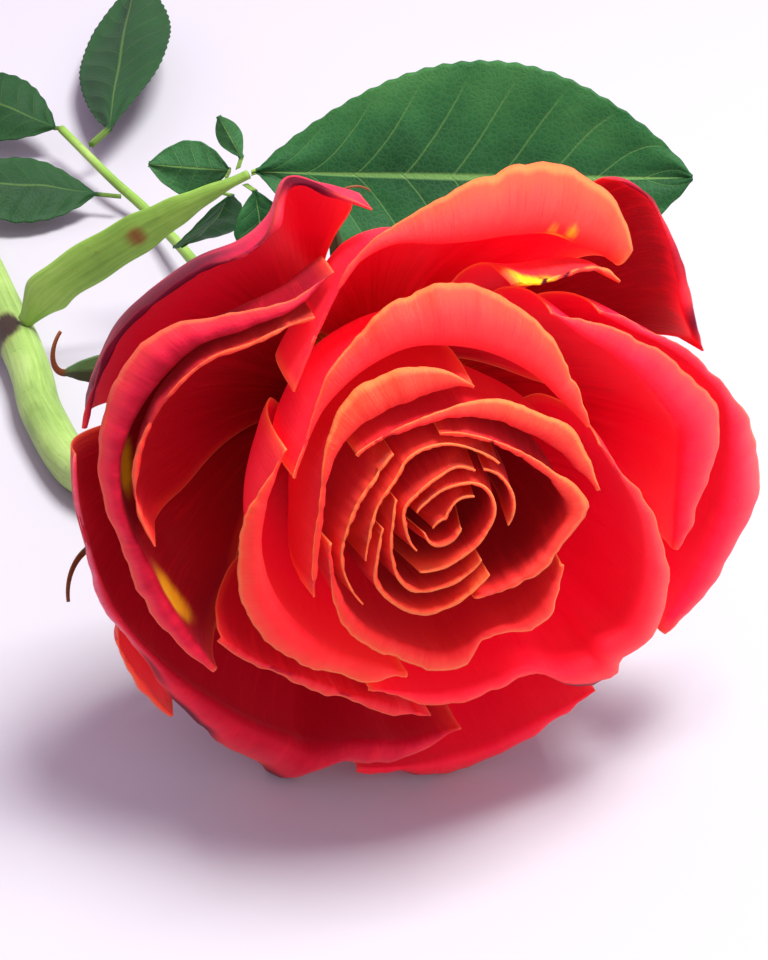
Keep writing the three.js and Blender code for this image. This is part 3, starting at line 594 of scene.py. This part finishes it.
def stemTone(t, around):
    side = (math.cos(around - stem["scarAround"]) + 1) / 2
    scar = math.exp(-((t - nodeShare) / 0.009) ** 2) * smooth(side, 0.45, 0.9)
    return scar, 0.5 * math.exp(-((t - nodeShare) / 0.022) ** 2) * side


makeRod("stem", greenSkin("stemSkin", stem), stemPath, stem["sides"], stemSize, stemTone)

stalk = {"dark": (0.12, 0.24, 0.03), "body": (0.24, 0.42, 0.06), "light": (0.40, 0.56, 0.15),
         "speck": (0.20, 0.12, 0.03), "length": 0.08, "rustAt": 0.5}
stalkSkin = greenSkin("stalkSkin", stalk)
stalkStart = nodePoint + Vector((0.4, 0, 0.92)) * ((stem["radius"] + bloom["restGap"] + 0.2) * mm)
stalkOnePath = smoothPath([stalkStart, place(-53.5, 76.2, 14.4), place(-40, 76.8, 23.3),
                           place(-29.8, 78.2, 29), place(-21.5, 79.8, 32.7)], 16)
stalkTwoPath = smoothPath([place(-33, 35.2, 13.4), place(-28, 53.8, 13), place(-30, 87.8, 8),
                           place(-42.3, 120.8, 3.8), place(-51, 133.8, 5), place(-62.4, 151.4, 7)], 14)


def wingSize(t, around):
    wing = mix(1.4, 3.8, smooth(t, 0, 0.2)) - 3 * smooth(t, 0.4, 1)
    thick = mix(1.1, 0.7, t) * (1 - 0.3 * abs(math.sin(around)) ** 3)
    return thick, wing * (1 + 0.04 * math.sin(t * 40))


def wingTone(t, around):
    return 0, 0.8 * math.exp(-((t - stalk["rustAt"]) / 0.04) ** 2) * smooth(math.cos(2 * around), 0, 1)


def slimSize(t, around):
    return mix(1.2, 0.8, t), mix(1.2, 0.8, t)


makeRod("leaf_1_stalk", stalkSkin, stalkOnePath, 24, wingSize, wingTone)
makeRod("leaf_2_stalk", stalkSkin, stalkTwoPath, 16, slimSize, lambda t, around: (0, 0.3 * (1 - t)))

hip = {"dark": (0.06, 0.12, 0.02), "body": (0.13, 0.22, 0.04), "light": (0.24, 0.32, 0.08),
       "speck": (0.20, 0.08, 0.03), "length": 0.03, "sides": 48,
       "profile": [(2, 1.3), (4, 0.3), (6, -1.4), (8, -3.8), (8.6, -5), (7.2, -6.4), (5.9, -8.4),
                   (5.6, -10), (5.1, -12), (3.9, -15), (3.5, -17)]}


def makeHip():
    bm = bmesh.new()
    uvLayer = bm.loops.layers.uv.new("UVMap")
    tone = bm.verts.layers.float_color.new("tone")
    ring = bmesh.ops.create_circle(bm, segments=hip["sides"], radius=1, cap_ends=False)["verts"]
    levels = {v: 0 for v in ring}
    for k in range(1, len(hip["profile"])):
        edges = [e for e in bm.edges if all(levels[v] == k - 1 for v in e.verts)]
        grown = bmesh.ops.extrude_edge_only(bm, edges=edges)["geom"]
        levels.update({g: k for g in grown if isinstance(g, bmesh.types.BMVert)})
    for v, k in levels.items():
        radius, height = hip["profile"][k]
        v.co = Vector((v.co.x * radius, v.co.y * radius, height))
        v[tone] = (0, 0.4 * smooth(k, 2, 5) * (1 - smooth(k, 5, 8)), 0, 1)
    for face in bm.faces:
        for loop in face.loops:
            co = loop.vert.co
            loop[uvLayer].uv = (0.5 + math.atan2(co.y, co.x) / (2 * math.pi), -co.z / stem["neck"])
    bmesh.ops.holes_fill(bm, edges=[e for e in bm.edges if e.is_boundary], sides=0)
    toBloom = Matrix((bloomSide, bloomCrown, bloomAxis)).transposed().to_4x4() @ Matrix.Scale(mm, 4)
    bmesh.ops.transform(bm, matrix=Matrix.Translation(bloomOrigin) @ toBloom, verts=bm.verts)
    bmesh.ops.recalc_face_normals(bm, faces=bm.faces)
    piece = keepPiece("hip", bm, [greenSkin("hipSkin", hip)])
    rounder = piece.modifiers.new("rounder", "SUBSURF")
    rounder.levels = rounder.render_levels = 1


makeHip()
print("stem, hip and stalks made")

# Each sepal: angle, distance level, reach along the wall, width, turn of its thin tail
sepals = {"sepal_1": (163, 45.6, 0.74, 6.5, -125), "sepal_2": (196, 46.0, 0.7, 6, 70),
          "sepal_3": (101, 42.6, 0.38, 2.4, -150), "sepal_4": (292, 42.8, 0.62, 6, 40),
          "sepal_5": (28, 45.4, 0.55, 6.5, -70)}
sepalLook = {"thickness": 0.35, "across": 14, "bladeRows": 48, "tailRows": 36, "tail": 7.5, "teeth": 0.14,
             "dark": (0.015, 0.05, 0.015), "body": (0.04, 0.11, 0.03), "light": (0.11, 0.19, 0.06),
             "speck": (0.16, 0.07, 0.03), "length": 0.1, "thinnest": 0.4, "narrowest": 0.14,
             "tailShare": 0.07, "foot": 0.04, "sideDrop": 0.5}
sepalSkin = greenSkin("sepalSkin", sepalLook)
sepalBase = bloom["petalBase"] + bloom["petalStep"] * (len(petals) + 0.6)


def makeSepal(number, name, angle, level, reach, width, curl):
    look = sepalLook
    rows = look["bladeRows"] + look["tailRows"]
    bladeShare = look["bladeRows"] / rows

    def bladePoint(u, t):
        half = width / 2 * max(look["narrowest"], math.sin(math.pi * (0.22 + 0.74 * t)))
        half *= 1 + look["teeth"] * noise.noise(Vector((number * 3, t * 14, u)))
        r, h = meridian(sepalBase, level, 0.02, 0, look["foot"] + (reach - look["foot"]) * t)
        return fromBloom(angle + math.degrees(u * half / r), r, h - look["sideDrop"] * abs(u))

    end = bladePoint(0, 1)
    onward = (end - bladePoint(0, 0.9)).normalized()
    across = (bladePoint(1, 1) - bladePoint(-1, 1)).normalized()
    spines, ways = [end], [0]
    for j in range(1, look["tailRows"] + 1):
        turning = math.radians(curl) * j / look["tailRows"]
        step = look["tail"] / look["tailRows"] * mm
        spines.append(spines[-1] + (onward * math.cos(turning) + across * math.sin(turning)) * step)
        ways.append(turning)
    bm = bmesh.new()
    flatGrid(bm, look["across"], rows)
    tone = bm.verts.layers.float_color.new("tone")
    weights = []
    for vert in bm.verts:
        u, v = vert.co.x * 2 - 1, vert.co.y
        if v <= bladeShare:
            vert.co = bladePoint(u, v / bladeShare)
        else:
            j = round((v - bladeShare) * rows)
            wide = across * math.cos(ways[j]) - onward * math.sin(ways[j])
            thin = 1 - 0.5 * j / look["tailRows"]
            vert.co = spines[j] + wide * (u * look["tailShare"] * width * thin * mm)
        vert[tone] = (0, smooth(v, bladeShare - 0.1, bladeShare + 0.15), 0, 1)
        weights.append(mix(1, 0.4, u * u))
    addThickness(keepPiece(name, bm, [sepalSkin]), look["thickness"], weights, look["thinnest"])


for number, (name, shape) in enumerate(sepals.items()):
    makeSepal(number, name, *shape)
print("sepals made")

leafLook = {"across": 44, "rows": 150, "thickness": 0.3, "quilt": 0.28, "tooth": 0.75, "toothLength": 3.0,
            "shape": 1.06, "foot": 0.45, "footShare": 0.04, "dark": (0.007, 0.045, 0.013),
            "body": (0.015, 0.082, 0.022), "light": (0.038, 0.135, 0.035), "vein": (0.12, 0.24, 0.06),
            "back": (0.04, 0.13, 0.045), "footColour": (0.22, 0.38, 0.07), "cells": 1100,
            "thinnest": 0.3, "skins": {"leaf_1": ("near", 1.15), "leaf_2": ("far", 0.55)}}
# root, base and tip [x, y, height], the way the blade spreads, width, fold, sag, veins on each side
leaflets = {
    "leaf_1_end": ((-21.05, 79.85, 32.85), (-20.2, 80, 33.1), (50.6, 79.8, 32), (0, 0.55, 0.8),
                   37, 0.12, -3, 9),
    "leaf_1_small": ((-23.2, 80, 33.6), (-22.6, 80.6, 35.3), (-26.2, 82.4, 41.7), (0.9, 0.2, 0.2),
                     4, 0.4, 0.5, 4),
    "leaf_1_left": ((-25.4, 80.5, 31.4), (-24.8, 83.2, 31.7), (-38.5, 86.8, 31.1), (0, 0.5, 0.8),
                    9, 0.2, 1, 5),
    "leaf_1_low": ((-22.2, 79.6, 31), (-20.6, 79, 30.1), (-19.6, 77.3, 18.4), (0.9, 0.3, 0), 9, 0.2, 1, 5),
    "leaf_1_back": ((-28, 80, 29.9), (-24.8, 85.8, 26), (-35, 96.8, 10.6), (0.8, 0.5, 0), 12, 0.2, 1, 6),
    "leaf_2_end": ((-62.75, 151.85, 7.05), (-63.8, 152.8, 6.6), (-89, 166.8, 9.6), (0.3, 0.7, 0.4),
                   16, 0.15, -1, 7),
    "leaf_2_right": ((-55.9, 144, 7.3), (-52.6, 147.8, 9), (-54, 221.8, 9), (0.95, 0, 0.3),
                     19, 0.15, -1, 9),
    "leaf_2_left": ((-48.65, 127.6, 4.5), (-53.4, 128.4, 4.6), (-79, 123.8, 9), (0, 0.9, 0.4),
                    15, 0.15, -1, 7),
}


def leafBlade(name, backSide, paintedLightLevel):
    look = leafLook
    f = Finish(name, {"Subsurface Weight": 0.08, "Subsurface Radius": (0.4, 1.0, 0.2),
                      "Subsurface Scale": 0.001, "Specular IOR Level": 0.12})
    both, u, v = f.uv()
    phase, veinFade, foot = f.tone("tone")
    here = f.here()
    cloud = f.noise(here, 60, 4, 0.6)
    cells = f.node("ShaderNodeTexVoronoi", {"feature": "DISTANCE_TO_EDGE"},
                   {"Vector": here, "Scale": look["cells"]})
    off = f.node("ShaderNodeMath", {"operation": "ABSOLUTE"}, [u * 2 - 1])
    midrib = f.band(off, 0.045, 0.012)
    part = f.node("ShaderNodeMath", {"operation": "FRACT"}, [phase + (cloud - 0.5) * 0.12])
    gap = f.node("ShaderNodeMath", {"operation": "ABSOLUTE"}, [part - 0.5])
    lateral = f.band(gap, 0.455, 0.5) * veinFade
    colour = f.ramp(cloud * 0.75 + off * 0.2,
                    [(0.3, look["dark"]), (0.5, look["body"]), (0.75, look["light"])])
    if backSide:
        colour = f.blend(0.55, colour, look["back"])
    colour = f.blend(f.band(cells, 0.0, 0.12, 0.08, 0.0), colour, look["vein"])
    colour = f.blend(lateral * 0.38, colour, look["vein"])
    colour = f.blend(midrib * 0.9, colour, look["vein"])
    colour = f.blend(f.band(foot, 0.0, 0.3), colour, look["footColour"])
    # painted light and shade: the whole blade colour is scaled up for leaf_1 and down for leaf_2
    colour = f.blend(1.0, colour, (paintedLightLevel, paintedLightLevel, paintedLightLevel), "MULTIPLY")
    height = f.band(cells, 0.0, 0.25) * 0.2 - lateral * 0.6 - midrib * 0.6
    return f.finish(colour, 0.46 + cloud * 0.22, height, 0.0003, 0.5)


def makeLeaflet(name, root, base, tip, spread, width, fold, sag, veins, materials):
    look = leafLook
    root, base, tip = place(*root), place(*base), place(*tip)
    length = tip - base
    face = length.cross(Vector(spread)).normalized()
    across = face.cross(length).normalized()
    teeth = length.length / mm / look["toothLength"]
    small = min(1, width / 20)
    bm = bmesh.new()
    flatGrid(bm, look["across"], look["rows"])
    tone = bm.verts.layers.float_color.new("tone")
    weights = []
    for vert in bm.verts:
        u, t = vert.co.x * 2 - 1, max(0, (vert.co.y - look["footShare"]) / (1 - look["footShare"]))
        half = max(look["foot"], width / 2 * math.sin(math.pi * t ** look["shape"]) ** 0.8)
        onFoot = 1 - min(vert.co.y / look["footShare"], 1)
        saw = (t * teeth) % 1
        notch = look["tooth"] * small * (saw - 0.5) * smooth(abs(u), 0.8, 1) * smooth(half, 0, 3)
        reach = u * half + math.copysign(notch, u)
        phase = (t - abs(u) ** 0.85 * 0.17) * veins
        quilt = look["quilt"] * small * abs(math.cos(math.pi * (phase - 0.5)))
        quilt *= smooth(abs(u), 0.05, 0.3) * (1 - smooth(abs(u), 0.85, 1))
        wave = 0.9 * small * noise.noise(Vector((u * 1.3, t * 4, veins)))
        vert.co = (base.lerp(root, onFoot) + length * t + across * (-reach * mm)
                   + face * ((sag * math.sin(math.pi * t) + fold * abs(u) * half + quilt + wave) * mm))
        vert[tone] = (phase + 3, smooth(1 - abs(u), 0.03, 0.4), onFoot, 1)
        weights.append(mix(1, 0.35, abs(u) ** 4))
    addThickness(keepPiece(name, bm, materials), look["thickness"], weights, look["thinnest"])


# leaf_1's blades are painted brighter and leaf_2's painted darker: painted light and painted shade
leafSkins = {leaf: [leafBlade(where + "Top", False, paintedLightLevel), leafBlade(where + "Back", True, paintedLightLevel)]
             for leaf, (where, paintedLightLevel) in leafLook["skins"].items()}
for name, shape in leaflets.items():
    makeLeaflet(name, *shape, leafSkins[name[:6]])
print("leaves made")

studio = {"floor": (0.50, 0.476, 0.508), "sky": (0.92, 0.73, 1.0), "skyStrength": 0.68,
          "key": 14.5, "keySize": 0.36, "keyAt": (0.26, 0.08, 0.86), "fill": 2.4, "fillSize": 0.8,
          "fillAt": (0.5, -0.75, 0.45), "keyColour": (0.96, 1, 0.98), "fillColour": (0.97, 0.97, 1)}


def addLight(name, at, size, power, colour):
    light = bpy.data.lights.new(name, "AREA")
    light.size, light.energy, light.color = size, power, colour
    lamp = bpy.data.objects.new(name, light)
    bpy.context.collection.objects.link(lamp)
    lamp.location = bloomOrigin + Vector(at)
    lamp.rotation_euler = (bloomOrigin - lamp.location).to_track_quat("-Z", "Y").to_euler()


def makeSurface():
    bm = bmesh.new()
    bmesh.ops.create_grid(bm, x_segments=1, y_segments=1, size=4)
    mesh = bpy.data.meshes.new("surface")
    bm.to_mesh(mesh)
    bm.free()
    surface = bpy.data.objects.new("surface", mesh)
    bpy.context.collection.objects.link(surface)
    f = Finish("surfaceFinish", {"Roughness": 0.55, "Specular IOR Level": 0.2})
    mottle = f.noise(f.here(), 3, 2)
    colour = f.blend(mottle, studio["floor"], tuple(c * 0.985 for c in studio["floor"]))
    mesh.materials.append(f.finish(colour))


makeSurface()
sky = bpy.data.worlds.new("sky")
bpy.context.scene.world = sky
sky.use_nodes = True
sky.node_tree.nodes["Background"].inputs["Color"].default_value = (*studio["sky"], 1)
sky.node_tree.nodes["Background"].inputs["Strength"].default_value = studio["skyStrength"]
for lamp in ("key", "fill"):
    addLight(lamp, studio[lamp + "At"], studio[lamp + "Size"], studio[lamp], studio[lamp + "Colour"])

# The camera looks down at 34 degrees, aimed a little left of the bloom's middle
view = {"lens": 85, "sensor": 36, "distance": 276, "tilt": 34, "middle": 25, "left": 4.14, "down": 1.1}
tilt = math.radians(view["tilt"])
cameraRight = Vector((1, 0, 0))
cameraUp = Vector((0, math.sin(tilt), math.cos(tilt)))
cameraBack = Vector((0, -math.cos(tilt), math.sin(tilt)))
cameraData = bpy.data.cameras.new("camera")
cameraData.lens, cameraData.sensor_width = view["lens"], view["sensor"]
cameraData.clip_start, cameraData.clip_end = 0.01, 20
camera = bpy.data.objects.new("camera", cameraData)
bpy.context.collection.objects.link(camera)
camera.location = (bloomOrigin + bloomAxis * view["middle"] * mm - cameraRight * view["left"] * mm
                   - cameraUp * view["down"] * mm + cameraBack * view["distance"] * mm)
camera.rotation_euler = Matrix((cameraRight, cameraUp, cameraBack)).transposed().to_euler()
bpy.context.scene.camera = camera
print("surface, light and camera set")
